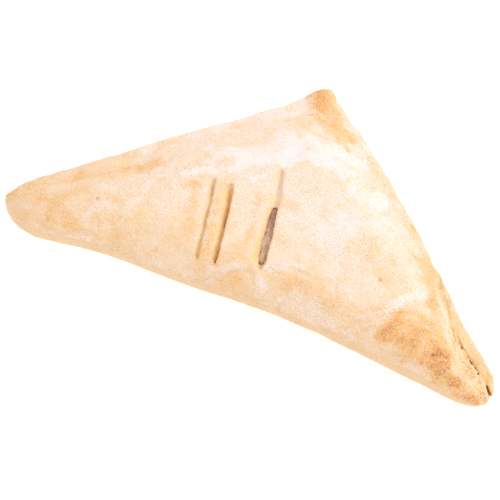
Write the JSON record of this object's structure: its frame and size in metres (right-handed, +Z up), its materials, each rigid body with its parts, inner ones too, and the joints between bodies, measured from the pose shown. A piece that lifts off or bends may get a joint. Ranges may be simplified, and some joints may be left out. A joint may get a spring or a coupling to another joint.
{
  "type": "turnover pastry",
  "caption": "Triangular baked turnover of folded puff pastry with slits across its top and a dark fruit filling inside, lying flat.",
  "frame": {"origin": "on the table under the middle of the pastry's bounding box", "axes": "+X along the fold towards the corner with the open mouth, +Y from the fold to the apex, +Z up"},
  "size_m": [0.1697, 0.0928, 0.0218],
  "materials": {
    "crust": "baked puff pastry: matte cream to golden crust, browned at the corners, dusted with white sugar and flour",
    "fruit_filling": "dark purple-brown cooked fruit, moist"
  },
  "bodies": {
    "root": {"pastry": "crust", "filling": "fruit_filling"}
  },
  "joints": []
}
